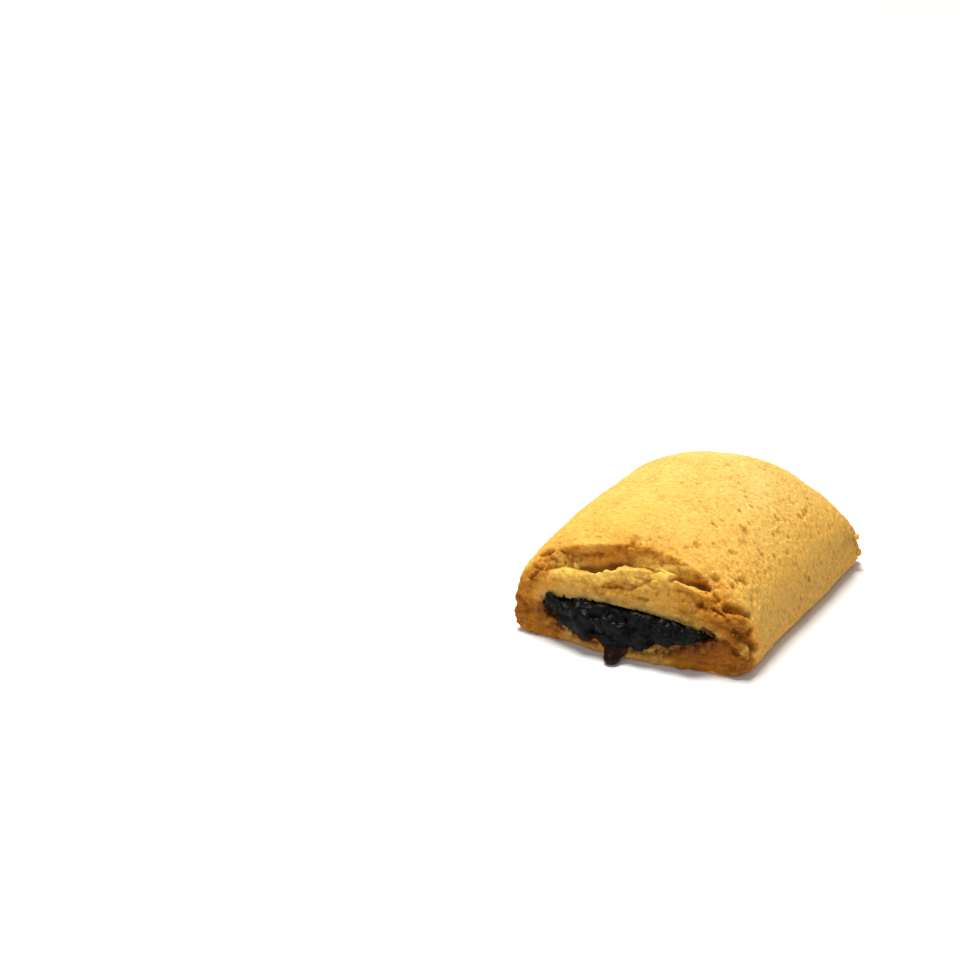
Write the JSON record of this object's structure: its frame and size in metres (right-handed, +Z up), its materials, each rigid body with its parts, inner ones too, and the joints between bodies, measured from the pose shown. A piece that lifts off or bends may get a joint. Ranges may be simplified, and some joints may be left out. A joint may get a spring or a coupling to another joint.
{
  "type": "filled shortbread cookie",
  "caption": "Domed shortbread sleeve, flat below and cut blunt at both ends, with a dark fruit jam running through it and welling over the front lip in a drop.",
  "frame": {"origin": "middle of the cookie's bounding box, on the surface that it rests on", "axes": "+X across the loaf to the right as seen from the front cut, +Y along the filling from the front cut to the back one, +Z up"},
  "size_m": [0.047, 0.0652, 0.0251],
  "materials": {
    "baked_dough": "dry, fine-grained baked shortbread, pale golden on the crown and orange-brown at the torn edges",
    "fruit_jam": "wet, lumpy, nearly black dark-berry jam, purple-red where it is thin"
  },
  "bodies": {
    "root": {"dough": "baked_dough", "jam": "fruit_jam"}
  },
  "joints": []
}
